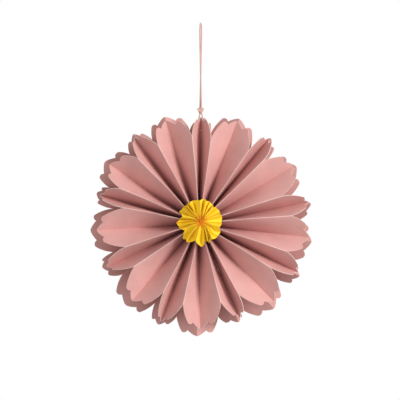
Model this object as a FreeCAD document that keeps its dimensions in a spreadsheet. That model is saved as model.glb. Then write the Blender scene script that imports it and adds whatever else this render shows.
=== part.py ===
import FreeCAD, Part
import math
import os
import Sketcher
from FreeCAD import Placement, Rotation, Vector

# A hanging flower of pleated card, in millimetres. Its string hangs from the origin, the flower faces -Y
# and +Z is up. Each rosette is one strip of card, closed into a ring: its ridges face outwards and its
# valley folds lie in the middle of the petals.

DOC = FreeCAD.newDocument("hanging_flower")

SIZES = [
    ("flower_drop", 184.0, "hang point down to the axis of the flower"),
    ("axis_aside", -2.0, "hang point across to the axis, negative to the left"),
    ("middle_setback", 2.0, "hang point back to the plane between the rosettes"),
    ("pairs", 9, "pairs of a wide and a narrow petal"),
    ("wide_angle", 26.4, "degrees between the ridges of a wide petal"),
    ("card", 0.4, "thickness of the pink card"),
    ("pleat_width", 24.0, "card between two folds"),
    ("core_radius", 4.0, "inner edge of the pleats"),
    ("second_radius", 9.0, "section of the pleats"),
    ("third_radius", 20.0, "section of the pleats"),
    ("fourth_radius", 42.0, "section of the pleats"),
    ("strip_radius", 107.0, "outer edge of the strip before it is cut"),
    ("wide_fold_depth", 13.0, "ridges back to the fold at that edge, wide petals"),
    ("narrow_fold_depth", 21.0, "ridges back to the fold at that edge, narrow petals"),
    ("front_split", 76.5, "radius where the front petals part"),
    ("front_wide_tip", 97.0, "wide petals in front: axis to the tip of the middle tooth"),
    ("front_wide_side_half", 11.3, "half width at the outer foot of the side teeth"),
    ("front_wide_side_back", 5.4, "tip back to that foot"),
    ("front_wide_notch_half", 6.7, "half width at the notches"),
    ("front_wide_notch_back", 6.3, "tip back to the notches"),
    ("front_narrow_tip", 96.0, "narrow petals in front, in the same order"),
    ("front_narrow_side_half", 4.6, "half width, outer foot"),
    ("front_narrow_side_back", 3.4, "tip back to that foot"),
    ("front_narrow_notch_half", 2.3, "half width, notches"),
    ("front_narrow_notch_back", 4.0, "tip back to the notches"),
    ("back_split", 86.0, "radius where the back petals part"),
    ("back_wide_tip", 101.5, "wide petals at the back: axis to the tip"),
    ("back_wide_side_half", 13.2, "half width, outer foot"),
    ("back_wide_side_back", 5.3, "tip back to that foot"),
    ("back_wide_notch_half", 8.4, "half width, notches"),
    ("back_wide_notch_back", 6.3, "tip back to the notches"),
    ("back_narrow_tip", 101.0, "narrow petals at the back: axis to the tip"),
    ("back_narrow_side_half", 7.6, "half width, outer foot"),
    ("back_narrow_side_back", 3.6, "tip back to that foot"),
    ("back_narrow_notch_half", 4.6, "half width, notches"),
    ("back_narrow_notch_back", 4.4, "tip back to the notches"),
    ("tooth_bulge", 0.24, "rise of a side tooth over its width"),
    ("edge_bulge", 0.06, "rise of a petal's side edge over its length"),
    ("centre_pleats", 18, "pleats of the yellow centre"),
    ("centre_paper", 0.3, "thickness of the yellow paper"),
    ("centre_core", 2.6, "radius of the dimple"),
    ("centre_core_lift", 8.0, "height of the ridges round the dimple"),
    ("centre_crown", 9.0, "radius where the dome is highest"),
    ("centre_crown_lift", 12.0, "height of the dome"),
    ("centre_shoulder", 16.0, "radius where the dome falls off"),
    ("centre_shoulder_lift", 10.5, "height there"),
    ("centre_strip", 23.0, "outer edge of the strip before it is cut"),
    ("centre_rim_lift", 6.0, "height of the ridges at that edge"),
    ("centre_split", 18.4, "radius where the lobes part"),
    ("centre_tip", 20.9, "axis to the end of a lobe"),
    ("string_diameter", 1.3, "twisted string"),
    ("tie_below_tip", 10.4, "tip of the top petal down to the lowest run of the tie"),
    ("hole_clearance", 0.7, "hole in the top petal wider than the string"),
    ("knot_width", 5.6, "overhand knot, across"),
    ("knot_depth", 4.6, "front to back"),
    ("knot_height", 6.8, "top to bottom"),
    ("knot_rise", 104.0, "axis up to the middle of the knot"),
    ("knot_aside", -0.6, "middle of the knot to the right of the hang point"),
]


def make_sheet():
    sheet = DOC.addObject("Spreadsheet::Sheet", "Sizes")
    for row, (alias, value, note) in enumerate(SIZES, start=1):
        sheet.set(f"A{row}", alias)
        sheet.set(f"B{row}", str(value))
        sheet.set(f"C{row}", note)
        sheet.setAlias(f"B{row}", alias)
    DOC.recompute()
    return sheet


SHEET = make_sheet()


def size(expression):
    """The number that an expression over the sheet gives; its angles are in degrees."""
    return float(SHEET.evalExpression(expression))


def pin(sketch, edge, end, point):
    """Hold one end of an edge at a point that is given by two expressions."""
    for kind, axis, expression in (("DistanceX", -2, point[0]), ("DistanceY", -1, point[1])):
        if expression == "0":
            sketch.addConstraint(Sketcher.Constraint("PointOnObject", edge, end, axis))
            continue
        row = sketch.addConstraint(Sketcher.Constraint(kind, -1, 1, edge, end, size(expression)))
        sketch.setExpression(f"Constraints[{row}]", expression)


def draw_outline(sketch, points, bulges):
    """A closed outline; a bulge, the rise of an arc over its chord, curves the edge after its point."""
    places = [Vector(size(across), size(along), 0) for across, along in points]
    ends = []
    for index, start in enumerate(places):
        finish = places[(index + 1) % len(places)]
        chord = finish - start
        if index in bulges:
            rise = size(bulges[index])
            middle = (start + finish) / 2 + Vector(-chord.y, chord.x, 0) * rise
            sketch.addGeometry(Part.Arc(start, middle, finish), False)
            radius = sketch.addConstraint(Sketcher.Constraint("Radius", index, sketch.Geometry[index].Radius))
            chord_squared = " + ".join(
                f"(({points[(index + 1) % len(points)][axis]}) - ({points[index][axis]}))^2" for axis in (0, 1)
            )
            half_turn = f"abs(1 / (8 * ({bulges[index]})) + ({bulges[index]}) / 2)"
            sketch.setExpression(f"Constraints[{radius}]", f"sqrt({chord_squared}) * {half_turn}")
        else:
            sketch.addGeometry(Part.LineSegment(start, finish), False)
        first = 1 if sketch.getPoint(index, 1).distanceToPoint(start) < 1e-6 else 2
        ends.append((first, 3 - first))
    for index in range(len(places)):
        following = (index + 1) % len(places)
        sketch.addConstraint(
            Sketcher.Constraint("Coincident", index, ends[index][1], following, ends[following][0])
        )
        pin(sketch, index, ends[index][0], points[index])


def slice_across(radius, half, paper, lift, depth):
    """A V-shaped slice of one pleat, from ridge to ridge."""
    across = radius * math.sin(math.radians(half))
    steepness = math.hypot(across, depth) / across
    fold = across * paper * (steepness - 1) / depth
    bottom = depth + paper - lift
    outline = [
        (-across, -lift),
        (0, depth - lift),
        (across, -lift),
        (across, paper * steepness - lift),
        (fold, bottom),
        (-fold, bottom),
        (-across, paper * steepness - lift),
    ]
    along = radius * math.cos(math.radians(half))
    return [Vector(x, y, along) for x, y in outline]


def panel(*corners):
    return Part.Face(Part.makePolygon(list(corners) + [corners[0]]))


def wings(name, half, paper, stations):
    """The uncut strip of one pleat. Card can't twist, so each wing is creased into flat triangles."""
    slices = [
        slice_across(size(radius), size(half), size(paper), size(lift), size(depth))
        for radius, lift, depth in stations
    ]
    creased_from = {0: "inner", 3: "inner", 1: "outer", 5: "outer"}
    faces = [panel(*slices[0]), panel(*slices[-1])]
    for inner, outer in zip(slices, slices[1:]):
        for number in range(7):
            following = (number + 1) % 7
            corners = (inner[number], inner[following], outer[following], outer[number])
            if number not in creased_from:
                faces.append(panel(*corners))
            elif creased_from[number] == "inner":
                faces.append(panel(corners[0], corners[1], corners[2]))
                faces.append(panel(corners[0], corners[2], corners[3]))
            else:
                faces.append(panel(corners[0], corners[1], corners[3]))
                faces.append(panel(corners[1], corners[2], corners[3]))
    strip = DOC.addObject("Part::Feature", f"{name}_wings")
    strip.Shape = Part.Solid(Part.Shell(faces))
    return strip


def sector(name, half, split, teeth, bulges, reach):
    """The space that one pleat fills, seen from the front: two ridge lines and a toothed edge."""
    sketch = DOC.addObject("Sketcher::SketchObject", f"{name}_edge")
    sketch.Placement = Placement(Vector(0, -size(reach), 0), Rotation(Vector(1, 0, 0), 90))
    right = [(f"{split} * sin({half})", f"{split} * cos({half})")] + teeth
    left = [(f"0 - {across}", along) for across, along in reversed(right)]
    rises = dict(enumerate(bulges))
    rises.update({2 * len(bulges) - 2 - index: bulge for index, bulge in enumerate(bulges)})
    draw_outline(sketch, right + left + [("0", "0")], {key: f"0 - ({rise})" for key, rise in rises.items()})
    prism = DOC.addObject("Part::Extrusion", f"{name}_sector")
    prism.Base = sketch
    prism.DirMode = "Custom"
    prism.Dir = Vector(0, 1, 0)
    prism.Solid = True
    prism.setExpression("LengthFwd", f"2 * {reach}")
    return prism


def petal(name, half, paper, stations, split, teeth, bulges, reach):
    cut = DOC.addObject("Part::MultiCommon", name)
    cut.Shapes = [
        wings(name, half, paper, stations),
        sector(name, half, split, teeth, bulges, reach),
    ]
    return cut


def turned(bearing):
    """A petal is drawn at twelve o'clock and turned clockwise about the axis, seen from the front."""
    return Placement(Vector(), Rotation(Vector(0, 1, 0), bearing))


def placed(source, bearing):
    """The same pleat again at another bearing."""
    link = DOC.addObject("App::Link", f"{source.Name}_at_{round(bearing)}")
    link.LinkedObject = source
    link.LinkTransform = False
    link.Placement = turned(bearing)
    return link


# How far each ridge stands off its even place, in degrees, clockwise from twelve o'clock. The flower
# was opened by hand, so its pleats are wider at the left and lower right and closer between them.
UNEVEN = [0.7, 0.8, -1.3, -1.2, -1.3, -4.7, -4.3, -1.2, -1.3, -1.7, 0.7, 2.8, 4.7, 7.3, 5.7, 2.8, 4.7, 1.8]


def ridge_bearings():
    """Bearings of the ridges after each petal, clockwise from the narrow petal at twelve o'clock."""
    pitch = size("180 / Sizes.pairs")
    narrow_half = pitch - size("Sizes.wide_angle / 2")
    even = []
    for pair in range(int(size("Sizes.pairs"))):
        even += [2 * pitch * pair + narrow_half, 2 * pitch * (pair + 1) - narrow_half]
    return [bearing + UNEVEN[number % len(UNEVEN)] for number, bearing in enumerate(even)]


def pink_petal(layer, kind, number, half):
    stations = [
        (f"Sizes.{alias}", "0", f"sqrt(Sizes.pleat_width^2 - (Sizes.{alias} * sin({half}))^2)")
        for alias in ("core_radius", "second_radius", "third_radius", "fourth_radius")
    ]
    deepest, edge_depth = stations[-1][2], f"Sizes.{kind}_fold_depth"
    along = f"(Sizes.{layer}_split - Sizes.fourth_radius) / (Sizes.strip_radius - Sizes.fourth_radius)"
    stations.append((f"Sizes.{layer}_split", "0", f"({deepest} + ({edge_depth} - {deepest}) * {along})"))
    stations.append(("Sizes.strip_radius", "0", edge_depth))
    cell = f"Sizes.{layer}_{kind}"
    teeth = [
        (f"{cell}_side_half", f"({cell}_tip - {cell}_side_back)"),
        (f"{cell}_notch_half", f"({cell}_tip - {cell}_notch_back)"),
    ]
    middle_tooth = f"{cell}_notch_back / (2 * {cell}_notch_half)"
    bulges = ["Sizes.edge_bulge", "Sizes.tooth_bulge", middle_tooth]
    name = f"{layer}_petal_{number:02d}"
    split = f"Sizes.{layer}_split"
    return petal(name, half, "Sizes.card", stations, split, teeth, bulges, "(2 * Sizes.pleat_width)")


def pink_rosette(layer):
    """All the petals of one strip; the back one is drawn from behind, so its bearings run the other way."""
    ridges = ridge_bearings()
    before = [ridges[-1] - 360] + ridges[:-1]
    petals = []
    for number, (start, finish) in enumerate(zip(before, ridges), start=1):
        source = pink_petal(layer, "wide" if number % 2 == 0 else "narrow", number, f"{(finish - start) / 2:.3f}")
        middle = (start + finish) / 2
        source.Placement = turned(middle if layer == "front" else -middle)
        petals.append(source)
    rosette = DOC.addObject("Part::MultiFuse", f"{layer}_strip")
    rosette.Shapes = petals
    return rosette


def yellow_centre(layer):
    """A small strip whose folds lie flat against the ridges of the pink one and whose ridges dome."""
    count = int(size("Sizes.centre_pleats"))
    half = "(180 / Sizes.centre_pleats)"
    stations = [
        (f"Sizes.{radius}", f"Sizes.{lift}", f"(Sizes.{lift} - Sizes.centre_paper)")
        for radius, lift in (
            ("centre_core", "centre_core_lift"),
            ("centre_crown", "centre_crown_lift"),
            ("centre_shoulder", "centre_shoulder_lift"),
            ("centre_strip", "centre_rim_lift"),
        )
    ]
    split = "Sizes.centre_split"
    lobe = f"(Sizes.centre_tip - {split} * cos({half})) / (2 * {split} * sin({half}))"
    reach = "(2 * Sizes.centre_crown_lift)"
    source = petal(f"{layer}_centre_pleat", half, "Sizes.centre_paper", stations, split, [], [lobe], reach)
    rosette = DOC.addObject("Part::MultiFuse", f"{layer}_centre")
    rosette.Shapes = [placed(source, 360 * number / count) for number in range(count)]
    return rosette


def set_in_flower(item, layer):
    """The front layer's ridges face -Y; the back layer is the same thing turned about the vertical."""
    side = "-1" if layer == "front" else "1"
    thickness = "(Sizes.pleat_width + Sizes.card)"
    item.Placement = Placement(Vector(), Rotation(Vector(0, 0, 1), 0 if layer == "front" else 180))
    item.setExpression("Placement.Base.x", "Sizes.axis_aside")
    item.setExpression("Placement.Base.y", f"Sizes.middle_setback + {side} * {thickness}")
    item.setExpression("Placement.Base.z", "0 - Sizes.flower_drop")


def rounded_route(points):
    """Straight runs joined by tangent arcs, each as large as its two runs allow."""
    places = [Vector(*point) for point in points]
    edges = []
    start = places[0]
    for before, corner, after in zip(places, places[1:], places[2:]):
        arriving, leaving = corner - before, after - corner
        turn = arriving.getAngle(leaving)
        reach = 0.45 * min(arriving.Length, leaving.Length)
        radius = reach / math.tan(turn / 2)
        enter = corner - arriving.normalize() * reach
        leave = corner + leaving.normalize() * reach
        inward = (leave - corner + enter - corner).normalize()
        middle = corner + inward * (radius / math.cos(turn / 2) - radius)
        edges.append(Part.LineSegment(start, enter).toShape())
        edges.append(Part.Arc(enter, middle, leave).toShape())
        print(f"  bend of {math.degrees(turn):.0f} degrees, radius {radius:.1f} mm")
        start = leave
    edges.append(Part.LineSegment(start, places[-1]).toShape())
    return Part.Wire(edges)


def string_tube(name, route, diameter):
    """A round tube along a route of straight runs and arcs."""
    first = route.OrderedEdges[0]
    start, ahead = first.valueAt(first.FirstParameter), first.tangentAt(first.FirstParameter)
    section = Part.Face(Part.Wire(Part.makeCircle(diameter / 2, start, ahead)))
    tube = DOC.addObject("Part::Feature", name)
    tube.Shape = route.makePipe(section)
    expected = section.Area * route.Length
    print(f"{name}: {route.Length:.1f} mm long, volume {tube.Shape.Volume:.1f}, expected {expected:.1f} mm3")
    return tube


def punch(name, corner):
    """One round punch through both wings of the top petal, a little above the lowest run of the tie."""
    cylinder = DOC.addObject("Part::Cylinder", name)
    cylinder.setExpression("Radius", "(Sizes.string_diameter + Sizes.hole_clearance) / 2")
    cylinder.Height = -2 * corner[0]
    start = Vector(*corner) + Vector(0, 0, size("Sizes.hole_clearance / 3"))
    cylinder.Placement = Placement(start, Rotation(Vector(0, 0, 1), Vector(1, 0, 0)))
    return cylinder


def mirrored(points):
    """A route from one side of the string's middle plane and back on the other side."""
    return points + [(-x, y, z) for x, y, z in reversed(points)]


KNOT = size("Sizes.knot_rise - Sizes.flower_drop")
TIE_LOW = size("Sizes.front_narrow_tip - Sizes.tie_below_tip - Sizes.flower_drop")

# The loop is seen edge-on: it opens front to back, and its two legs cross above the knot.
UP = [(-0.45, 0.68, KNOT + 2.6), (1.25, 4.2, -9.0), (0.7, 4.2, 0.65)]
DOWN = [(-x, -y, z) for x, y, z in reversed(UP)]
# The tie spreads below the knot and passes through both wings of the top petal, in front of its fold.
TIE = [(-0.7, -1.3, KNOT - 2.6), (-4.3, -4.4, TIE_LOW)]


string_size = size("Sizes.string_diameter")
loop = string_tube("hanging_loop", rounded_route(UP + DOWN), string_size)
tie = string_tube("petal_tie", rounded_route(mirrored(TIE)), string_size)
hole = punch("tie_hole", TIE[-1])

knot_body = DOC.addObject("Part::Ellipsoid", "knot_body")
knot_body.setExpression("Radius1", "Sizes.knot_height / 2")
knot_body.setExpression("Radius2", "Sizes.knot_width / 2")
knot_body.setExpression("Radius3", "Sizes.knot_depth / 2")
knot_body.setExpression("Placement.Base.x", "Sizes.knot_aside")
knot_body.setExpression("Placement.Base.z", "Sizes.knot_rise - Sizes.flower_drop")
strings = DOC.addObject("Part::MultiFuse", "strings_in_knot")
strings.Shapes = [loop, tie]
knot = DOC.addObject("Part::Cut", "string_knot")
knot.Base = knot_body
knot.Tool = strings

nodes = [loop, tie, knot]
for layer in ("front", "back"):
    strip = pink_rosette(layer)
    centre = yellow_centre(layer)
    set_in_flower(strip, layer)
    set_in_flower(centre, layer)
    if layer == "front":
        rosette = DOC.addObject("Part::Cut", "front_rosette")
        rosette.Base = strip
        rosette.Tool = hole
    else:
        rosette = strip
        rosette.Label = "back_rosette"
    nodes += [rosette, centre]

DOC.recompute()
os.makedirs("parts", exist_ok=True)
for item in DOC.Objects:
    if "Invalid" in item.State or "Error" in item.State:
        raise RuntimeError(f"{item.Name} did not compute")
for node in nodes:
    shape = node.Shape
    if shape.isNull() or not shape.isValid():
        raise RuntimeError(f"{node.Label} is not a valid solid")
    box = shape.optimalBoundingBox()
    print(
        f"{node.Label}: {len(shape.Solids)} solid, {shape.Volume:.0f} mm3, "
        f"x {box.XMin:.1f} {box.XMax:.1f}, y {box.YMin:.1f} {box.YMax:.1f}, z {box.ZMin:.1f} {box.ZMax:.1f}"
    )
    shape.exportStep(f"parts/{node.Label}.step")
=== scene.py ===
import math
import random

import bmesh
import bpy
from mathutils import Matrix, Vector


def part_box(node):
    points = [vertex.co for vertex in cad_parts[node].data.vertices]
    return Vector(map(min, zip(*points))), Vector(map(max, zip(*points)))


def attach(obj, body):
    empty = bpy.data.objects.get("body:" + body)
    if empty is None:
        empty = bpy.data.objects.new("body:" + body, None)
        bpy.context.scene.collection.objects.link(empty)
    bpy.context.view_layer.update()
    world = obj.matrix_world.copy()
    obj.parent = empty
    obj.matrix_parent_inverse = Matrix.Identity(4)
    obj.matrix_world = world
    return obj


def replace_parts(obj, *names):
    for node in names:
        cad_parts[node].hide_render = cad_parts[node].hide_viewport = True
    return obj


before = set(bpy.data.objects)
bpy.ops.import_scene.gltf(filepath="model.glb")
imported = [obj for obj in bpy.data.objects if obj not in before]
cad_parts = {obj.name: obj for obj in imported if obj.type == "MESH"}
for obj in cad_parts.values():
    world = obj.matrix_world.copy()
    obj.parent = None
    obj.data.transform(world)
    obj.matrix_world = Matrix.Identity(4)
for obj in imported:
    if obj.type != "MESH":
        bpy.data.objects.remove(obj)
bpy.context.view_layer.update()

bl_info = {
    "name": "Hanging paper flower",
    "version": (1, 0, 0),
    "blender": (4, 5, 0),
    "location": "View3D > Sidebar > Flower",
    "description": "Dresses a hanging flower of pleated card",
    "category": "Object",
}


# The flower's axis runs front to back through the middle of its centres; its ridges lie in two planes.
CENTRE_LOW, CENTRE_HIGH = (Vector(corner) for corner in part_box("front_centre"))
AXIS_ASIDE = (CENTRE_LOW.x + CENTRE_HIGH.x) / 2
AXIS_HEIGHT = (CENTRE_LOW.z + CENTRE_HIGH.z) / 2
FRONT_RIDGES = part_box("front_rosette")[0][1]
BACK_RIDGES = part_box("back_rosette")[1][1]
MIDDLE = (FRONT_RIDGES + BACK_RIDGES) / 2
TOWARDS_VIEWER = Vector((0, -1, 0))


class FlowerCard(bpy.types.PropertyGroup):
    """Sizes of the pink card"""

    thickness: bpy.props.FloatProperty(
        name="Card", description="Thickness of the pink card", default=0.0004, unit="LENGTH"
    )
    pleat_width: bpy.props.FloatProperty(
        name="Pleat width", description="Card between two folds", default=0.024, unit="LENGTH"
    )
    core: bpy.props.FloatProperty(
        name="Core", description="Radius where the pleats close", default=0.004, unit="LENGTH"
    )
    straight_from: bpy.props.FloatProperty(
        name="Straight from", description="Radius from which the wings are flat", default=0.066,
        unit="LENGTH",
    )
    strip: bpy.props.FloatProperty(
        name="Strip", description="Radius of the uncut strip", default=0.107, unit="LENGTH"
    )
    crumple: bpy.props.FloatProperty(
        name="Unevenness", description="How far the card bends out of line", default=0.0016, unit="LENGTH"
    )
    wear_and_highlight_width: bpy.props.FloatProperty(
        name="Worn ridge", description="Width that is rubbed pale each side of a ridge", default=0.0003,
        unit="LENGTH",
    )
    flap_start: bpy.props.FloatProperty(
        name="Flap start", description="Radius where the glued flap shows first", default=0.018,
        unit="LENGTH",
    )
    flap_end: bpy.props.FloatProperty(
        name="Flap end", description="Radius where the glued flap ends", default=0.050, unit="LENGTH"
    )
    flap_width: bpy.props.FloatProperty(
        name="Flap width", description="Half width of what shows of the flap", default=0.0010, unit="LENGTH"
    )
    wide_angle: bpy.props.FloatProperty(
        name="Wide petals", description="Angle between a wide petal's ridges", default=math.radians(26.4),
        subtype="ANGLE",
    )
    colour: bpy.props.FloatVectorProperty(
        name="Card colour", description="Dusty pink of the card", default=(0.67, 0.354, 0.325),
        subtype="COLOR",
    )
    wear_and_highlight_colour: bpy.props.FloatVectorProperty(
        name="Worn ridge colour", description="Rubbed card on the ridges", default=(0.88, 0.66, 0.59),
        subtype="COLOR",
    )
    edge_colour: bpy.props.FloatVectorProperty(
        name="Cut edge", description="Pale core of the card at its cut edges", default=(0.92, 0.76, 0.68),
        subtype="COLOR",
    )


class FlowerCentre(bpy.types.PropertyGroup):
    """Sizes of the yellow centre"""

    colour: bpy.props.FloatVectorProperty(
        name="Yellow", description="Golden yellow paper", default=(1.0, 0.68, 0.03), subtype="COLOR"
    )
    crumple: bpy.props.FloatProperty(
        name="Unevenness", description="How far the yellow pleats bend out of line", default=0.0035,
        unit="LENGTH",
    )
    # The yellow's lighter ridges are a painted highlight, where the ridges catch the light; this is its half
    # width.
    wear_and_highlight_width: bpy.props.FloatProperty(
        name="Worn ridge", description="Half width of the rubbed ridges", default=0.00022, unit="LENGTH"
    )
    # Painted highlight: the lighter yellow of the ridges, which catch the light.
    wear_and_highlight_colour: bpy.props.FloatVectorProperty(
        name="Worn ridge colour", description="Rubbed paper on the ridges", default=(1.0, 0.78, 0.09),
        subtype="COLOR",
    )
    dimple_colour: bpy.props.FloatVectorProperty(
        name="Dimple", description="Orange paper in the dimple", default=(0.85, 0.24, 0.01), subtype="COLOR"
    )
    thickness: bpy.props.FloatProperty(
        name="Paper", description="Thickness of the yellow paper", default=0.0003, unit="LENGTH"
    )


class FlowerString(bpy.types.PropertyGroup):
    """Sizes of the string"""

    diameter: bpy.props.FloatProperty(
        name="String", description="Thickness of the twisted string", default=0.0013, unit="LENGTH"
    )
    ply_share: bpy.props.FloatProperty(
        name="Ply", description="Thickness of one ply over the string's", default=0.6, subtype="FACTOR"
    )
    twist: bpy.props.FloatProperty(
        name="Twist", description="Length of one turn of the twist", default=0.0042, unit="LENGTH"
    )
    colour: bpy.props.FloatVectorProperty(
        name="String colour", description="Pale pink string", default=(0.68, 0.43, 0.36), subtype="COLOR"
    )


TINY_ANGLE = 1e-6
CARD_BULGES = (0.06, 0.24)
CARD_TIP_ROUND = 1.35


class Petal:
    """The cut edge of a petal seen from the front: how far out it reaches at each angle from its fold.

    The side edge and the side tooth are arcs, whose bulges are their rise over their chord. The middle
    tooth is pointed where tip_round is 1 and round where it is 2.
    """

    def __init__(self, half, split, side, notch, tip, bulges=CARD_BULGES, tip_round=CARD_TIP_ROUND):
        self.half = half
        self.tip = tip
        self.tip_round = tip_round
        self.notch_at = notch[1]
        foot = Vector((split * math.sin(half), split * math.cos(half)))
        side = Vector(side)
        notch = Vector(notch)
        self.turns = [math.atan2(notch.x, notch.y), math.atan2(side.x, side.y), half]
        self.arcs = [
            self.circle(side, notch, bulges[1]),
            self.circle(foot, side, bulges[0]),
        ]

    @staticmethod
    def circle(start, finish, bulge):
        """Centre and radius of an arc that bulges outwards, to the right of its chord."""
        chord = finish - start
        length = chord.length
        radius = length * (1 / (8 * bulge) + bulge / 2)
        inward = Vector((-chord.y, chord.x)).normalized()
        return (start + finish) / 2 + inward * (radius - bulge * length), radius

    def reach(self, turn):
        """Distance along the fold to the edge, on a line from the axis at this angle."""
        if turn <= self.turns[0] + TINY_ANGLE:
            return self.tip - (self.tip - self.notch_at) * (turn / self.turns[0]) ** self.tip_round
        centre, radius = self.arcs[0 if turn <= self.turns[1] + TINY_ANGLE else 1]
        ray = Vector((math.sin(turn), math.cos(turn)))
        along = centre.dot(ray)
        miss = centre.length_squared - along * along
        return (along + math.sqrt(max(radius * radius - miss, 0.0))) * ray.y


# Slots of a sheet's materials: its faces, its cut edge and its lighter ridges, which have cut ends too. The
# ridges are rubbed card on the pink and a painted highlight on the yellow.
EDGE_SLOT = 1
FOLD_SLOT = 2
CARD_MATERIALS = ("card", "edge", "fold", "edge")
YELLOW_MATERIALS = ("yellow", "yellow", "yellow_ridge_highlight")
SAME_PLACE = 0.00002
SMOOTH_BELOW = math.radians(32)


def deselect():
    if bpy.context.mode != "OBJECT":
        bpy.ops.object.mode_set(mode="OBJECT")
    bpy.ops.object.select_all(action="DESELECT")


def only(piece):
    """Select this piece alone and make it the active one."""
    deselect()
    piece.select_set(True)
    bpy.context.view_layer.objects.active = piece


def edit(piece):
    """Open this piece for editing, with nothing of it selected."""
    only(piece)
    bpy.ops.object.mode_set(mode="EDIT")
    bpy.ops.mesh.select_mode(type="VERT")
    bpy.ops.mesh.select_all(action="DESELECT")


def pick(piece, numbers):
    """Select these vertices and no others."""
    mesh = bmesh.from_edit_mesh(piece.data)
    mesh.verts.ensure_lookup_table()
    for vertex in mesh.verts:
        vertex.select = False
    for number in numbers:
        mesh.verts[number].select = True
    mesh.select_flush(True)
    mesh.select_flush(False)
    bmesh.update_edit_mesh(piece.data)


def place_of(piece, number):
    mesh = bmesh.from_edit_mesh(piece.data)
    mesh.verts.ensure_lookup_table()
    return mesh.verts[number].co.copy()


def lines_of(piece, axis):
    """The grid's vertices as lines across one axis, from its lowest value to its highest."""
    lines = {}
    for vertex in piece.data.vertices:
        lines.setdefault(round(vertex.co[axis], 5), []).append(vertex.index)
    return [lines[key] for key in sorted(lines)]


def pleated_petal(name, petal, radii, lift, depth, fold_shape, spans, fold_aside=0.0, sunk=(0.0, 0.0)):
    """A flat grid, folded along its middle and opened out row by row.

    Each row lies at one of the radii, where lift gives the height of its ridges and depth the depth of its
    fold. Between the fold (0) and a ridge (1), fold_shape gives the share of that depth. The fold lies aside
    of the middle by a share of the half width, and either ridge may be sunk by a share of the depth. The
    spans are the columns over the middle tooth, a side tooth and a side edge.
    """
    count = sum(spans)
    bpy.ops.mesh.primitive_grid_add(
        x_subdivisions=2 * count, y_subdivisions=len(radii) - 1, size=2, rotation=(math.pi / 2, 0, 0)
    )
    piece = bpy.context.active_object
    piece.name = name
    bpy.ops.object.transform_apply(location=True, rotation=True, scale=True)
    columns = lines_of(piece, 0)
    rows = lines_of(piece, 2)
    limits = [0.0] + [math.tan(turn) / math.tan(petal.half) for turn in petal.turns]
    shares = []
    for number, span in enumerate(spans):
        low, high = limits[number], limits[number + 1]
        shares += [low + (high - low) * step / span for step in range(span)]
    shares = [-share for share in reversed(shares + [1.0])][:-1] + shares + [1.0]
    edit(piece)
    for column, share in zip(columns, shares):
        pick(piece, column)
        here = place_of(piece, column[0])
        there = share + fold_aside * (1 - share * share)
        ridges_sunk = (sunk[0] * (1 - share) + sunk[1] * (1 + share)) / 2
        folded = fold_shape(abs(share))
        bpy.ops.transform.translate(value=(there - here.x, folded + ridges_sunk * (1 - folded), 0))
    for row, radius in zip(rows, radii):
        pick(piece, row)
        here = place_of(piece, row[0])
        bpy.ops.transform.resize(
            value=(radius * math.sin(petal.half), depth(radius), 1), center_override=(0, 0, here.z)
        )
        bpy.ops.transform.translate(value=(0, -lift(radius), radius * math.cos(petal.half) - here.z))
    bpy.ops.object.mode_set(mode="OBJECT")
    return piece, rows, columns, shares


def trim(piece, left, right, rows, columns, shares, straight_row):
    """Draw each column's straight end back until it stops on the petal's cut edge."""
    edit(piece)
    outer = {number for row in rows[straight_row + 1:] for number in row}
    anchor = set(rows[straight_row])
    last = set(rows[-1])
    for column, share in zip(columns, shares):
        petal = left if share < 0 else right
        pivot = place_of(piece, next(number for number in column if number in anchor))
        end = place_of(piece, next(number for number in column if number in last))
        turn = math.atan(abs(share) * math.tan(petal.half))
        factor = (petal.reach(turn) - pivot.z) / (end.z - pivot.z)
        pick(piece, [number for number in column if number in outer])
        bpy.ops.transform.resize(value=(factor, factor, factor), center_override=pivot)
    bpy.ops.object.mode_set(mode="OBJECT")


def turn_clockwise(piece, bearing):
    """Turn a finished petal about the flower's axis, clockwise seen from the front."""
    only(piece)
    bpy.ops.object.mode_set(mode="EDIT")
    bpy.ops.mesh.select_all(action="SELECT")
    bpy.ops.transform.rotate(value=-bearing, orient_axis="Y", center_override=(0, 0, 0))
    bpy.ops.object.mode_set(mode="OBJECT")


def joined(name, pieces):
    """The pieces as one, each as it is."""
    deselect()
    for piece in pieces:
        piece.select_set(True)
    bpy.context.view_layer.objects.active = pieces[0]
    bpy.ops.object.join()
    whole = bpy.context.active_object
    whole.name = name
    return whole


def one_sheet(name, petals):
    """Petals as one sheet: where two of them meet in a ridge, they share its corners."""
    sheet = joined(name, petals)
    bpy.ops.object.mode_set(mode="EDIT")
    bpy.ops.mesh.select_all(action="SELECT")
    bpy.ops.mesh.remove_doubles(threshold=SAME_PLACE)
    bpy.ops.object.mode_set(mode="OBJECT")
    return sheet


def face_front(piece):
    """Turn all faces towards the viewer if they look away."""
    total = sum((face.normal * face.area for face in piece.data.polygons), Vector())
    if total.dot(TOWARDS_VIEWER) < 0:
        only(piece)
        bpy.ops.object.mode_set(mode="EDIT")
        bpy.ops.mesh.select_all(action="SELECT")
        bpy.ops.mesh.flip_normals()
        bpy.ops.object.mode_set(mode="OBJECT")


def crumple(piece, amount, size):
    """Handled paper is never quite flat: push the sheet about a little, by a soft noise."""
    clouds = bpy.data.textures.new(f"{piece.name}_crumple", "CLOUDS")
    clouds.noise_scale = size
    clouds.noise_depth = 1
    only(piece)
    modifier = piece.modifiers.new("Crumple", "DISPLACE")
    modifier.texture = clouds
    modifier.texture_coords = "GLOBAL"
    modifier.direction = "RGB_TO_XYZ"
    modifier.strength = amount
    modifier.mid_level = 0.5
    bpy.ops.object.modifier_apply(modifier=modifier.name)
    bpy.data.textures.remove(clouds)


def thicken(piece, thickness):
    only(piece)
    modifier = piece.modifiers.new("Card", "SOLIDIFY")
    modifier.thickness = thickness
    modifier.offset = -1
    modifier.material_offset_rim = EDGE_SLOT
    bpy.ops.object.modifier_apply(modifier=modifier.name)
    bpy.ops.object.shade_smooth_by_angle(angle=SMOOTH_BELOW)


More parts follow.
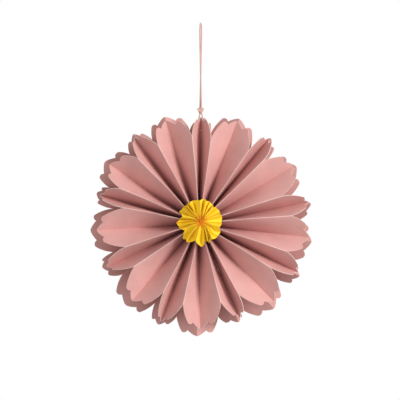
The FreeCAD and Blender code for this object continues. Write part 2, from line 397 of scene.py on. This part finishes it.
def set_in_flower(piece, layer):
    """Put a rosette made round the origin on the flower's axis; the back one faces the other way."""
    only(piece)
    bpy.ops.object.mode_set(mode="EDIT")
    bpy.ops.mesh.select_all(action="SELECT")
    if layer == "back":
        bpy.ops.transform.rotate(value=math.pi, orient_axis="Z", center_override=(0, 0, 0))
    ridges = FRONT_RIDGES if layer == "front" else BACK_RIDGES
    bpy.ops.transform.translate(value=(AXIS_ASIDE, ridges, AXIS_HEIGHT))
    bpy.ops.object.mode_set(mode="OBJECT")


# Where the teeth of each kind of petal lie: outer foot of the side teeth and notches beside the middle
# tooth, each as its place aside of the fold and out from the axis, and how far out the tip is.
PETALS = {
    ("front", "wide"): ((0.0113, 0.0916), (0.0067, 0.0907), 0.0970),
    ("front", "narrow"): ((0.0046, 0.0926), (0.0023, 0.0920), 0.0960),
    ("back", "wide"): ((0.0142, 0.0970), (0.0086, 0.0958), 0.1015),
    ("back", "narrow"): ((0.0076, 0.0974), (0.0046, 0.0966), 0.1010),
}

# How far out the petals of each layer part.
SPLITS = {"front": 0.0765, "back": 0.086}

# The flower is folded and cut by hand. In millimetres, clockwise from the petal at twelve o'clock: how far
# each tip stands out or in, how far it leans clockwise, and how far out each pair of petals parts.
TIP_OUT = [1.9, 3.1, 4.9, 3.9, 6.0, 3.7, 4.9, 1.2, -3.1, -0.7, -1.1, -3.5, -3.3, -3.7, -2.3, 0.6, 2.5, 1.5]
TIP_LEAN = [
    -0.1, -0.6, -0.9, -0.9, -0.4, -0.1, 0.5, -1.6, -4.4, 1.5, 2.2, -1.4, 1.8, -0.2, -0.6, -1.8, -1.0, -2.4,
]
PART_OUT = [
    -0.2, 0.4, 3.2, 0.8, 6.3, 5.8, -1.9, -3.1, -1.5, -1.6, -6.6, -5.0, -5.9, -7.6, 0.4, 4.0, 2.8, 2.1,
]

# The back layer's own unevenness: its petals' length, its top petal and its turn.
BACK_SHORTER = {"wide": -0.0008, "narrow": 0.0018}
BACK_TOP_LOWER = 0.0045
BACK_TOP_LEAN = 0.0025
BACK_TURN = math.radians(0.9)

# The petal in whose fold the strip's two ends are glued, and the folds' depth at the uncut strip's edge.
PETAL_OF_FLAP = 9
FOLD_AT_EDGE = {"wide": 0.013, "narrow": 0.0195}

# How the sheet of a petal is divided: rows up to the straight part and beyond it, closer together near
# the core; columns over the middle tooth, a side tooth and a side edge.
INNER_ROWS = 14
OUTER_ROWS = 6
ROWS_TO_CORE = 1.4
CARD_COLUMNS = (6, 4, 8)
CARD_FOLD_ROUND = 1.15

# How far under its full height an edge of the sheet still counts as a ridge.
CARD_SLACK = 0.00001
YELLOW_SLACK = 0.0003

# The length over which handled card bends to and fro.
CARD_WAVE = 0.045

# Ridges are one pitch apart on average. How far each stands off its even place, in degrees, clockwise from
# twelve o'clock.
PITCH = math.radians(20)
UNEVEN = [0.7, 0.8, -1.3, -1.2, -1.3, -4.7, -4.3, -1.2, -1.3, -1.7, 0.7, 2.8, 4.7, 7.3, 5.7, 2.8, 4.7, 1.8]


def ridge_bearings():
    """Bearings of the ridges after each petal, clockwise from the narrow petal at twelve o'clock."""
    half_wide = bpy.context.scene.flower_card.wide_angle / 2
    even = []
    for pair in range(len(UNEVEN) // 2):
        even += [2 * PITCH * pair + PITCH - half_wide, 2 * PITCH * (pair + 1) - PITCH + half_wide]
    return [bearing + math.radians(shift) for bearing, shift in zip(even, UNEVEN)]


def flat_height(radius):
    """The pink ridges all lie in one plane."""
    return 0.0


def fold_depth(card, kind, half, radius):
    """Depth of a petal's fold behind its ridges: the wings keep their width until they run straight."""
    inside = min(radius, card.straight_from)
    here = math.sqrt(card.pleat_width ** 2 - (inside * math.sin(half)) ** 2)
    beyond = max(0.0, radius - card.straight_from) / (card.strip - card.straight_from)
    return here + (FOLD_AT_EDGE[kind] - here) * beyond


def pink_petal(layer, number, start, finish):
    """One petal between two ridges, drawn at twelve o'clock and turned to its place."""
    card = bpy.context.scene.flower_card
    kind = "wide" if number % 2 == 0 else "narrow"
    half = (finish - start) / 2
    radii = [
        card.core + (card.straight_from - card.core) * (step / INNER_ROWS) ** ROWS_TO_CORE
        for step in range(INNER_ROWS + 1)
    ]
    radii += [
        card.straight_from + (card.strip - card.straight_from) * step / OUTER_ROWS
        for step in range(1, OUTER_ROWS + 1)
    ]
    side, notch, tip = PETALS[layer, kind]
    out, aside = TIP_OUT[number - 1] / 1000, TIP_LEAN[number - 1] / 1000
    if layer == "back":
        out -= BACK_TOP_LOWER if number == 1 else BACK_SHORTER[kind]
        aside += BACK_TOP_LEAN if number == 1 else 0
    clockwise = 1 if layer == "front" else -1
    edges = [
        Petal(
            half, SPLITS[layer] + PART_OUT[ridge % len(PART_OUT)] / 1000,
            (side[0], side[1] + out), (notch[0], notch[1] + out), tip + out,
        )
        for ridge in (number - 2, number - 1)
    ][::clockwise]
    lean = clockwise * aside / (tip * math.sin(half))
    piece, rows, columns, shares = pleated_petal(
        f"{layer}_petal_{number}", edges[0], radii, flat_height,
        lambda radius: fold_depth(card, kind, half, radius), lambda share: (1 - share) ** CARD_FOLD_ROUND,
        CARD_COLUMNS, lean,
    )
    trim(piece, *edges, rows, columns, shares, INNER_ROWS)
    for name in CARD_MATERIALS:
        piece.data.materials.append(MATERIALS[name])
    if layer == "front" and number == PETAL_OF_FLAP:
        show_flap(piece)
    middle = (start + finish) / 2 + (BACK_TURN if layer == "back" else 0)
    turn_clockwise(piece, clockwise * middle)
    return piece


def show_flap(piece):
    """The strip's two ends meet here: the cut edge of the glued flap shows in the fold."""
    card = bpy.context.scene.flower_card
    edit(piece)
    bpy.ops.mesh.select_mode(type="EDGE")
    mesh = bmesh.from_edit_mesh(piece.data)
    deepest = {}
    for vertex in mesh.verts:
        row = round(vertex.co.z, 5)
        if row not in deepest or vertex.co.y > deepest[row].co.y:
            deepest[row] = vertex
    on_fold = set(deepest.values())
    for item in mesh.edges:
        middle = (item.verts[0].co.z + item.verts[1].co.z) / 2
        if set(item.verts) <= on_fold and card.flap_start < middle < card.flap_end:
            item.select_set(True)
    bmesh.update_edit_mesh(piece.data)
    bpy.ops.mesh.bevel(offset=card.flap_width, segments=1, affect="EDGES", material=EDGE_SLOT)
    bpy.ops.object.mode_set(mode="OBJECT")


def wear_and_highlight_ridges(piece, width, lift, slack):
    """The ridges are the edges at full height, within a slack; they are creased round and made lighter:
    rubbed card on the pink, a painted highlight on the yellow.
    """
    edit(piece)
    bpy.ops.mesh.select_mode(type="EDGE")
    mesh = bmesh.from_edit_mesh(piece.data)
    for item in mesh.edges:
        off = max(abs(vertex.co.y + lift(math.hypot(vertex.co.x, vertex.co.z))) for vertex in item.verts)
        if off < slack and len(item.link_faces) == 2:
            item.select_set(True)
    bmesh.update_edit_mesh(piece.data)
    bpy.ops.mesh.bevel(offset=width, segments=2, affect="EDGES", material=FOLD_SLOT)
    bpy.ops.object.mode_set(mode="OBJECT")


def pink_rosette(layer):
    card = bpy.context.scene.flower_card
    ridges = ridge_bearings()
    before = [ridges[-1] - 2 * math.pi] + ridges[:-1]
    petals = [
        pink_petal(layer, number, start, finish)
        for number, (start, finish) in enumerate(zip(before, ridges), start=1)
    ]
    rosette = one_sheet(f"{layer}_pleated_card", petals)
    face_front(rosette)
    wear_and_highlight_ridges(rosette, card.wear_and_highlight_width, flat_height, CARD_SLACK)
    set_in_flower(rosette, layer)
    crumple(rosette, card.crumple, CARD_WAVE)
    thicken(rosette, card.thickness)
    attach(rosette, "root")
    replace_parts(rosette, f"{layer}_rosette")
    return rosette


# Filled by make_materials, before the pieces are made.
MATERIALS = {}


def new_group(name, inputs, outputs):
    """An empty node group with its sockets; each input is its name and default."""
    group = bpy.data.node_groups.new(name, "ShaderNodeTree")
    for socket, default in inputs:
        item = group.interface.new_socket(socket, in_out="INPUT", socket_type="NodeSocketFloat")
        item.default_value = default
    for socket, kind in outputs:
        group.interface.new_socket(socket, in_out="OUTPUT", socket_type=kind)
    return group, group.nodes.new("NodeGroupInput"), group.nodes.new("NodeGroupOutput")


def math_node(group, operation, first, second):
    node = group.nodes.new("ShaderNodeMath")
    node.operation = operation
    for socket, value in zip(node.inputs, (first, second)):
        if isinstance(value, (int, float)):
            socket.default_value = value
        else:
            group.links.new(value, socket)
    return node.outputs["Value"]


def noise_node(group, vector, scale, detail, roughness):
    node = group.nodes.new("ShaderNodeTexNoise")
    node.inputs["Detail"].default_value = detail
    node.inputs["Roughness"].default_value = roughness
    if isinstance(scale, (int, float)):
        node.inputs["Scale"].default_value = scale
    else:
        group.links.new(scale, node.inputs["Scale"])
    group.links.new(vector, node.inputs["Vector"])
    return node.outputs["Fac"]


def ranged(group, value, low, high, to_low=0.0, to_high=1.0):
    node = group.nodes.new("ShaderNodeMapRange")
    group.links.new(value, node.inputs["Value"])
    for socket, number in (("From Min", low), ("From Max", high), ("To Min", to_low), ("To Max", to_high)):
        node.inputs[socket].default_value = number
    return node.outputs["Result"]


# The paper's grain, in patterns a metre; fibres lie askew and are drawn out along their length.
CLOUDS_A_METRE = 55.0
TOOTH_A_METRE = 2600.0
FIBRES_A_METRE = 420.0
FIBRE_TURN = (0.3, 0.5, 0.7)
FIBRE_STRETCH = (0.22, 1.0, 1.0)
FIBRE_HEIGHT = 0.6
RELIEF_HEIGHT = 0.00006


def paper_group():
    """Paper seen close: soft clouds of thicker pulp, fine tooth and stray fibres."""
    group, given, result = new_group(
        "paper_surface", (("Tooth", TOOTH_A_METRE), ("Fibres", FIBRES_A_METRE)),
        (("Clouds", "NodeSocketFloat"), ("Tooth", "NodeSocketFloat"), ("Fibres", "NodeSocketFloat"),
         ("Height", "NodeSocketFloat")),
    )
    place = group.nodes.new("ShaderNodeTexCoord").outputs["Object"]
    clouds = ranged(group, noise_node(group, place, CLOUDS_A_METRE, 4.0, 0.55), 0.32, 0.68)
    tooth = noise_node(group, place, given.outputs["Tooth"], 3.0, 0.6)
    stretch = group.nodes.new("ShaderNodeMapping")
    stretch.inputs["Rotation"].default_value = FIBRE_TURN
    stretch.inputs["Scale"].default_value = FIBRE_STRETCH
    group.links.new(place, stretch.inputs["Vector"])
    strands = noise_node(group, stretch.outputs["Vector"], given.outputs["Fibres"], 2.0, 0.5)
    fibres = ranged(group, strands, 0.62, 0.70)
    height = math_node(group, "ADD", tooth, math_node(group, "MULTIPLY", fibres, FIBRE_HEIGHT))
    for value, socket in ((clouds, "Clouds"), (tooth, "Tooth"), (fibres, "Fibres"), (height, "Height")):
        group.links.new(value, result.inputs[socket])
    return group


def near_axis_group():
    """How near a place is to the flower's axis: 1 on it, 0 beyond a radius."""
    group, given, result = new_group(
        "near_axis", (("Radius", 0.01), ("Softness", 0.5)), (("Nearness", "NodeSocketFloat"),)
    )
    place = group.nodes.new("ShaderNodeTexCoord").outputs["Object"]
    parts = group.nodes.new("ShaderNodeSeparateXYZ")
    group.links.new(place, parts.inputs["Vector"])
    across = math_node(group, "SUBTRACT", parts.outputs["X"], AXIS_ASIDE)
    above = math_node(group, "SUBTRACT", parts.outputs["Z"], AXIS_HEIGHT)
    across_squared = math_node(group, "MULTIPLY", across, across)
    above_squared = math_node(group, "MULTIPLY", above, above)
    distance = math_node(group, "SQRT", math_node(group, "ADD", across_squared, above_squared), 0.0)
    share = math_node(group, "DIVIDE", distance, given.outputs["Radius"])
    nearness = group.nodes.new("ShaderNodeClamp")
    group.links.new(math_node(group, "SUBTRACT", 1.0, share), nearness.inputs["Value"])
    softened = math_node(group, "POWER", nearness.outputs["Result"], given.outputs["Softness"])
    group.links.new(softened, result.inputs["Nearness"])
    return group


def mixed(material, factor, first, second):
    """Mix two colours by a socket's value; a colour is three numbers or a socket."""
    nodes, links = material.node_tree.nodes, material.node_tree.links
    node = nodes.new("ShaderNodeMix")
    node.data_type = "RGBA"
    sockets = {item.identifier: item for item in node.inputs}
    links.new(factor, sockets["Factor_Float"])
    for name, value in (("A_Color", first), ("B_Color", second)):
        if isinstance(value, bpy.types.NodeSocket):
            links.new(value, sockets[name])
        else:
            sockets[name].default_value = (*value, 1)
    return next(item for item in node.outputs if item.identifier == "Result_Color")


def shade(colour, factor):
    """The same colour lighter or darker."""
    return tuple(min(1.0, part * factor) for part in colour)


def paper_material(name, colour, groups, cloud=0.06, fibre=0.10, bump=0.25, roughness=0.82, near=None):
    """Matt paper: clouded and flecked colour, a fine tooth, and where one is given a tint near the axis.

    The tint is its colour, the radius where it ends, how softly it ends and how much of it there is.
    """
    material = bpy.data.materials.new(name)
    material.use_nodes = True
    nodes, links = material.node_tree.nodes, material.node_tree.links
    shader = nodes["Principled BSDF"]
    surface = nodes.new("ShaderNodeGroup")
    surface.node_tree = groups["paper"]
    clouded = mixed(material, surface.outputs["Clouds"], shade(colour, 1 - cloud), shade(colour, 1 + cloud))
    pits = ranged(material.node_tree, surface.outputs["Tooth"], 0.3, 0.7, 0.0, 0.14)
    toothed = mixed(material, pits, clouded, shade(colour, 0.80))
    flecks = ranged(material.node_tree, surface.outputs["Fibres"], 0.0, 1.0, 0.0, fibre)
    flecked = mixed(material, flecks, toothed, shade(colour, 1.25))
    if near:
        tint, radius, softness, strength = near
        axis = nodes.new("ShaderNodeGroup")
        axis.node_tree = groups["axis"]
        axis.inputs["Radius"].default_value = radius
        axis.inputs["Softness"].default_value = softness
        amount = ranged(material.node_tree, axis.outputs["Nearness"], 0.0, 1.0, 0.0, strength)
        flecked = mixed(material, amount, flecked, tint)
    links.new(flecked, shader.inputs["Base Color"])
    shader.inputs["Roughness"].default_value = roughness
    shader.inputs["Specular IOR Level"].default_value = 0.25
    relief = nodes.new("ShaderNodeBump")
    relief.inputs["Strength"].default_value = bump
    relief.inputs["Distance"].default_value = RELIEF_HEIGHT
    links.new(surface.outputs["Height"], relief.inputs["Height"])
    links.new(relief.outputs["Normal"], shader.inputs["Normal"])
    return material


# Painted shade: near the axis, where the pleats are deep, the card's colour is made darker and redder.
PAINTED_SHADE_TINT = (0.56, 0.42, 0.52)

# Tints near the axis (on the card a painted shade): the radius where each ends, how softly it ends and how
# much of it there is.
CARD_PAINTED_SHADE = (0.056, 1.4, 0.52)
DIMPLE_TINT = (0.0072, 0.9, 0.9)
DIMPLE_FOLD_TINT = (0.0075, 0.9, 0.9)


def make_materials():
    card = bpy.context.scene.flower_card
    yellow = bpy.context.scene.flower_centre
    string = bpy.context.scene.flower_string
    groups = {"paper": paper_group(), "axis": near_axis_group()}
    painted_shade = tuple(part * factor for part, factor in zip(card.colour, PAINTED_SHADE_TINT))
    # The card's tint near the axis is painted shade, darker and redder, standing for the shade deep in the
    # pleats.
    MATERIALS["card"] = paper_material("pink_card", card.colour, groups, near=(painted_shade, *CARD_PAINTED_SHADE))
    MATERIALS["fold"] = paper_material("worn_fold", card.wear_and_highlight_colour, groups, cloud=0.12, fibre=0.3)
    MATERIALS["edge"] = paper_material(
        "cut_edge", card.edge_colour, groups, cloud=0.04, bump=0.6, roughness=0.9
    )
    MATERIALS["yellow"] = paper_material(
        "yellow_paper", yellow.colour, groups, cloud=0.05, fibre=0.2, roughness=0.7,
        near=(yellow.dimple_colour, *DIMPLE_TINT),
    )
    # Painted highlight on the yellow ridges, which catch the light.
    MATERIALS["yellow_ridge_highlight"] = paper_material(
        "yellow_ridge_highlight", yellow.wear_and_highlight_colour, groups, cloud=0.05, fibre=0.2,
        near=(yellow.dimple_colour, *DIMPLE_FOLD_TINT),
    )
    MATERIALS["string"] = paper_material(
        "pink_string", string.colour, groups, cloud=0.10, fibre=0.35, bump=0.8, roughness=0.9
    )


# Ridges of the yellow centre clockwise from twelve o'clock: bearing in degrees, then in millimetres how far
# the lobe before it reaches and where the two lobes part, then the share of the fold's depth by which the
# ridge is pushed in.
YELLOW_RIDGES = [
    (15, 20.9, 19.3, 0.1), (27, 20.4, 19.6, 0.5), (40, 20.0, 17.8, 0.0), (55, 20.1, 19.4, 0.5),
    (71, 19.9, 18.2, 0.0), (88, 19.8, 19.3, 0.7), (106, 19.6, 17.4, 0.0), (126, 20.3, 19.9, 0.8),
    (145, 20.3, 18.4, 0.0), (152, 19.2, 18.2, 0.4), (159, 19.8, 18.0, 0.0), (167, 18.5, 17.3, 0.5),
    (195, 22.0, 17.8, 0.0), (219, 20.8, 20.5, 0.0), (241, 21.2, 16.8, 0.6), (258, 20.4, 20.0, 0.2),
    (272, 20.9, 20.2, 0.6), (284, 18.6, 16.4, 0.0), (300, 21.0, 20.3, 0.6), (318, 20.5, 17.6, 0.0),
    (331, 20.4, 19.7, 0.3), (358, 20.6, 19.0, 0.0),
]

# The dome's height over the pink ridges: radius and height of each row up to where the lobes begin, and at
# the strip's edge. Rows between them divide the lobes.
DOME = [
    (0.0004, 0.0080), (0.0022, 0.0096), (0.0045, 0.0112), (0.0075, 0.0120), (0.0110, 0.0117),
    (0.0145, 0.0106),
]
DOME_EDGE = (0.0225, 0.0062)
LOBE_ROWS = [0.0165, 0.019]
YELLOW_COLUMNS = (3, 2, 5)
YELLOW_WAVE = 0.011

# The yellow folds deepen evenly from the dimple to full depth, but rest on the pink ridges.
DIMPLE_DEPTH = 0.0010
YELLOW_DEPTH = 0.0085
DEEP_FROM = 0.015
ABOVE_RIDGES = 0.0002

# A lobe's foot and notch, as shares of the way across and out, and how its edge curves between them.
LOBE_FOOT_ASIDE = 0.62
LOBE_FOOT_OUT = 0.6
LOBE_NOTCH_ASIDE = 0.45
LOBE_NOTCH_OUT = 0.5
LOBE_BULGES = (0.08, 0.08)
LOBE_TIP_ROUND = 2.2

# What differs from lobe to lobe: how full its sides curve, and how far its fold lies aside of its middle.
YELLOW_SEED = 5
LOBE_FULLNESS = (0.75, 1.3)
LOBE_LEAN = 0.5


def dome_height(radius):
    """Height of the yellow ridges over the pink ones, straight from row to row."""
    stations = DOME + [DOME_EDGE]
    for (low, start), (high, finish) in zip(stations, stations[1:]):
        if radius <= high:
            return start + (finish - start) * (radius - low) / (high - low)
    return stations[-1][1]


def yellow_depth(radius):
    """The folds are shallow in the dimple and deeper towards the rim."""
    free = DIMPLE_DEPTH + YELLOW_DEPTH * min(1.0, radius / DEEP_FROM)
    return min(free, dome_height(radius) - ABOVE_RIDGES)


def lobe_edge(half, split, reach):
    """The cut edge of one lobe, from the radius where it parts from the next and how far it reaches."""
    foot_out = (1 - LOBE_FOOT_OUT) * split * math.cos(half) + LOBE_FOOT_OUT * reach
    foot = (LOBE_FOOT_ASIDE * split * math.sin(half), foot_out)
    notch = (LOBE_NOTCH_ASIDE * foot[0], foot_out + LOBE_NOTCH_OUT * (reach - foot_out))
    return Petal(half, split, foot, notch, reach, LOBE_BULGES, LOBE_TIP_ROUND)


def yellow_centre(layer):
    """A dome of uneven lobes, each folded between two ridges; the back one runs the other way round."""
    centre = bpy.context.scene.flower_centre
    radii = [radius for radius, _ in DOME] + LOBE_ROWS + [DOME_EDGE[0]]
    clockwise = 1 if layer == "front" else -1
    draws = random.Random(YELLOW_SEED)
    lobes = []
    for number, (bearing, reach, part, sink) in enumerate(YELLOW_RIDGES):
        before, _, part_before, sink_before = YELLOW_RIDGES[number - 1]
        start, finish = math.radians(before - 360 if number == 0 else before), math.radians(bearing)
        half = (finish - start) / 2
        edges = [lobe_edge(half, split / 1000, reach / 1000) for split in (part_before, part)[::clockwise]]
        fullness = draws.uniform(*LOBE_FULLNESS)
        piece, rows, columns, shares = pleated_petal(
            f"{layer}_yellow_lobe_{number}", edges[0], radii, dome_height, yellow_depth,
            lambda share: (1 - share) ** fullness, YELLOW_COLUMNS, draws.uniform(-LOBE_LEAN, LOBE_LEAN),
            (sink_before, sink)[::clockwise],
        )
        trim(piece, *edges, rows, columns, shares, len(DOME) - 1)
        turn_clockwise(piece, clockwise * (start + finish) / 2)
        lobes.append(piece)
    rosette = one_sheet(f"{layer}_yellow_centre", lobes)
    for name in YELLOW_MATERIALS:
        rosette.data.materials.append(MATERIALS[name])
    face_front(rosette)
    # The yellow ridges are bevelled and given a painted highlight.
    wear_and_highlight_ridges(rosette, centre.wear_and_highlight_width, dome_height, YELLOW_SLACK)
    set_in_flower(rosette, layer)
    crumple(rosette, centre.crumple, YELLOW_WAVE)
    thicken(rosette, centre.thickness)
    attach(rosette, "root")
    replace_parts(rosette, f"{layer}_centre")
    return rosette


# The string's routes, up from the knot to the hang point and down from it through the top petal; the way
# back is the same on the other side of the string's middle plane.
LOOP_UP = [(-0.0006, 0.00068, -0.0774), (0.00125, 0.0042, -0.009), (0.0007, 0.0042, 0.00065)]
TIE_DOWN = [(-0.0007, -0.0013, -0.0826), (-0.0043, -0.0028, -0.0984)]
PATH_STEP = 0.0005

# The knot: its middle across and up, a third of its half width, how far it weaves front and back, how
# much taller it is than wide, and the run of the two strings through it.
KNOT_MIDDLE = (-0.0002, -0.0796)
KNOT_ROUND = 0.0009
KNOT_WEAVE = 0.0008
KNOT_TALL = 1.12
KNOT_STEPS = 24
KNOT_STEM = [(0.0004, 0.0, -0.0768), (0.0003, 0.0, -0.0796), (0.0006, 0.0, -0.0828)]


def knot_points():
    """The string goes round three times and weaves over and under itself, as in an overhand knot."""
    across, up = KNOT_MIDDLE
    points = []
    for step in range(KNOT_STEPS + 1):
        turn = 2 * math.pi * step / KNOT_STEPS
        points.append((
            across + KNOT_ROUND * (math.sin(turn) + 2 * math.sin(2 * turn)),
            KNOT_WEAVE * math.sin(3 * turn),
            up + KNOT_TALL * KNOT_ROUND * (math.cos(turn) - 2 * math.cos(2 * turn)),
        ))
    return points


def line_through(name, points):
    """The route's smooth line, as a curve with no thickness."""
    data = bpy.data.curves.new(name, "CURVE")
    data.dimensions = "3D"
    spline = data.splines.new("NURBS")
    spline.points.add(len(points) - 1)
    for slot, point in zip(spline.points, points):
        slot.co = (*point, 1)
    spline.order_u = 3
    spline.use_endpoint_u = True
    data.resolution_u = 48
    curve = bpy.data.objects.new(name, data)
    bpy.context.scene.collection.objects.link(curve)
    bpy.context.view_layer.update()
    mesh = bpy.data.meshes.new_from_object(curve.evaluated_get(bpy.context.evaluated_depsgraph_get()))
    line = [vertex.co.copy() for vertex in mesh.vertices]
    bpy.data.meshes.remove(mesh)
    bpy.data.objects.remove(curve, do_unlink=True)
    return line


def length_of(line):
    return sum((after - before).length for before, after in zip(line, line[1:]))


def evenly(line, step):
    """Points at equal steps along a line, from its start to its end."""
    count = max(2, round(length_of(line) / step))
    spacing = length_of(line) / count
    places, travelled, target = [line[0]], 0.0, spacing
    for before, after in zip(line, line[1:]):
        span = (after - before).length
        while target <= travelled + span + 1e-9 and len(places) < count:
            places.append(before.lerp(after, (target - travelled) / span))
            target += spacing
        travelled += span
    places.append(line[-1])
    return places


# A string's plies, and the points that draw each turn of one.
PLIES = 3
STEPS_A_TWIST = 14


def ply(name, line, turn, offset, thickness, twist):
    """One ply of a twisted string, as a round tube that winds about the line."""
    places = evenly(line, twist / STEPS_A_TWIST)
    normal = (places[1] - places[0]).orthogonal().normalized()
    data = bpy.data.curves.new(name, "CURVE")
    data.dimensions = "3D"
    spline = data.splines.new("POLY")
    spline.points.add(len(places) - 1)
    travelled = 0.0
    for number, place in enumerate(places):
        ahead = (places[min(number + 1, len(places) - 1)] - places[max(number - 1, 0)]).normalized()
        normal = (normal - ahead * normal.dot(ahead)).normalized()
        if number:
            travelled += (place - places[number - 1]).length
        angle = turn + 2 * math.pi * travelled / twist
        around = normal * math.cos(angle) + ahead.cross(normal) * math.sin(angle)
        spline.points[number].co = (*(place + around * offset), 1)
    data.bevel_depth = thickness / 2
    data.bevel_resolution = 2
    data.use_fill_caps = True
    curve = bpy.data.objects.new(name, data)
    bpy.context.scene.collection.objects.link(curve)
    only(curve)
    bpy.ops.object.convert(target="MESH")
    return bpy.context.active_object


def twisted(name, line):
    """A string of three plies, all in one piece."""
    string = bpy.context.scene.flower_string
    thickness = string.diameter * string.ply_share
    offset = (string.diameter - thickness) / 2
    piece = joined(name, [
        ply(f"{name}_ply", line, 2 * math.pi * number / PLIES, offset, thickness, string.twist)
        for number in range(PLIES)
    ])
    bpy.ops.object.shade_smooth()
    piece.data.materials.append(MATERIALS["string"])
    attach(piece, "root")
    return piece


def make_knot():
    """A woven round, and the two strings that run through it."""
    routes = (knot_points(), KNOT_STEM, [(-x, y, z) for x, y, z in KNOT_STEM])
    lines = [line_through("string_line", points) for points in routes]
    strands = [twisted(f"knot_strand_{number}", line) for number, line in enumerate(lines)]
    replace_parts(joined("string_knot", strands), "string_knot")


def make_cords():
    """The loop that the flower hangs from and the tie through its top petal."""
    loop = LOOP_UP + [(-x, -y, z) for x, y, z in reversed(LOOP_UP)]
    tie = TIE_DOWN + [(-x, y, z) for x, y, z in reversed(TIE_DOWN)]
    for name, points, node in (("string_loop", loop, "hanging_loop"), ("string_tie", tie, "petal_tie")):
        line = line_through("string_line", points)
        piece = twisted(name, line)
        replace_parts(piece, node)
        [tuple(place) for place in evenly(line, PATH_STEP)]


class PINK_OT_rosettes(bpy.types.Operator):
    """Model the two pleated pink rosettes"""

    bl_idname = "flower.rosettes"
    bl_label = "Pink rosettes"

    def execute(self, context):
        for layer in ("front", "back"):
            pink_rosette(layer)
        return {"FINISHED"}


class YELLOW_OT_centres(bpy.types.Operator):
    """Model the two yellow centres"""

    bl_idname = "flower.centres"
    bl_label = "Yellow centres"

    def execute(self, context):
        for layer in ("front", "back"):
            yellow_centre(layer)
        return {"FINISHED"}


class STRING_OT_strings(bpy.types.Operator):
    """Lay the string along its route"""

    bl_idname = "flower.strings"
    bl_label = "Strings"

    def execute(self, context):
        make_knot()
        make_cords()
        return {"FINISHED"}


# The camera looks up at the flower a little from its left. The picture is 400 pixels wide.
CAMERA_SIDE = math.radians(3.8)
CAMERA_BELOW = math.radians(4.8)
CAMERA_DISTANCE = 3.0
PIXELS_WIDE = 400
METRES_A_PIXEL = 0.000906
SENSOR_WIDTH = 36
VIEW_ASIDE = -0.00017
VIEW_RISE = 0.0202
LIGHT_ASIDE = 0.0004

# A bright window on the right and a soft answer from the left: place from the flower's middle, size, power.
LAMPS = (("key", (2.8, -2.7, 0.95), 1.5, 126), ("fill", (-1.8, -3.6, -0.6), 2.7, 27))
ROOM_LIGHT = 0.54
WHITE = 1.0


def make_camera(scene):
    look = Vector((AXIS_ASIDE + VIEW_ASIDE, FRONT_RIDGES, AXIS_HEIGHT + VIEW_RISE))
    direction = Vector((
        -math.sin(CAMERA_SIDE) * math.cos(CAMERA_BELOW), -math.cos(CAMERA_SIDE) * math.cos(CAMERA_BELOW),
        -math.sin(CAMERA_BELOW),
    ))
    data = bpy.data.cameras.new("camera")
    data.sensor_width = SENSOR_WIDTH
    data.lens = SENSOR_WIDTH * CAMERA_DISTANCE / (PIXELS_WIDE * METRES_A_PIXEL)
    data.clip_end = 20
    camera = bpy.data.objects.new("camera", data)
    scene.collection.objects.link(camera)
    camera.location = look + direction * CAMERA_DISTANCE
    camera.rotation_euler = (-direction).to_track_quat("-Z", "Y").to_euler()
    scene.camera = camera


def make_background(scene):
    """White to the camera, and a plain room's light to everything else."""
    world = bpy.data.worlds.new("studio")
    world.use_nodes = True
    scene.world = world
    nodes, links = world.node_tree.nodes, world.node_tree.links
    background = nodes["Background"]
    background.inputs["Color"].default_value = (1, 1, 1, 1)
    path = nodes.new("ShaderNodeLightPath")
    mix = nodes.new("ShaderNodeMix")
    mix.data_type = "FLOAT"
    mix.inputs["A"].default_value = ROOM_LIGHT
    mix.inputs["B"].default_value = WHITE
    links.new(path.outputs["Is Camera Ray"], mix.inputs["Factor"])
    links.new(mix.outputs["Result"], background.inputs["Strength"])


def make_lamps(scene):
    centre = Vector((LIGHT_ASIDE, MIDDLE, AXIS_HEIGHT))
    for name, place, size, power in LAMPS:
        data = bpy.data.lights.new(name, "AREA")
        data.size = size
        data.energy = power
        lamp = bpy.data.objects.new(name, data)
        scene.collection.objects.link(lamp)
        lamp.location = centre + Vector(place)
        lamp.rotation_euler = (-Vector(place)).to_track_quat("-Z", "Y").to_euler()


class STAGE_OT_stage(bpy.types.Operator):
    """Set up the camera, the light and the background"""

    bl_idname = "flower.stage"
    bl_label = "Stage"

    def execute(self, context):
        make_camera(context.scene)
        make_background(context.scene)
        make_lamps(context.scene)
        context.scene.view_settings.view_transform = "Standard"
        return {"FINISHED"}


class FLOWER_PT_panel(bpy.types.Panel):
    """The flower's pieces, in the sidebar"""

    bl_idname = "FLOWER_PT_panel"
    bl_label = "Hanging flower"
    bl_space_type = "VIEW_3D"
    bl_region_type = "UI"
    bl_category = "Flower"

    def draw(self, context):
        for operator in OPERATORS:
            self.layout.operator(operator.bl_idname)


OPERATORS = (PINK_OT_rosettes, YELLOW_OT_centres, STRING_OT_strings, STAGE_OT_stage)
GROUPS = (FlowerCard, FlowerCentre, FlowerString)


def register():
    for item in GROUPS + OPERATORS + (FLOWER_PT_panel,):
        bpy.utils.register_class(item)
    bpy.types.Scene.flower_card = bpy.props.PointerProperty(type=FlowerCard)
    bpy.types.Scene.flower_centre = bpy.props.PointerProperty(type=FlowerCentre)
    bpy.types.Scene.flower_string = bpy.props.PointerProperty(type=FlowerString)


def unregister():
    del bpy.types.Scene.flower_card, bpy.types.Scene.flower_centre, bpy.types.Scene.flower_string
    for item in reversed(GROUPS + OPERATORS + (FLOWER_PT_panel,)):
        bpy.utils.unregister_class(item)


def main():
    register()
    make_materials()
    bpy.ops.flower.rosettes()
    bpy.ops.flower.centres()
    bpy.ops.flower.strings()
    bpy.ops.flower.stage()


if __name__ == "__main__":
    main()
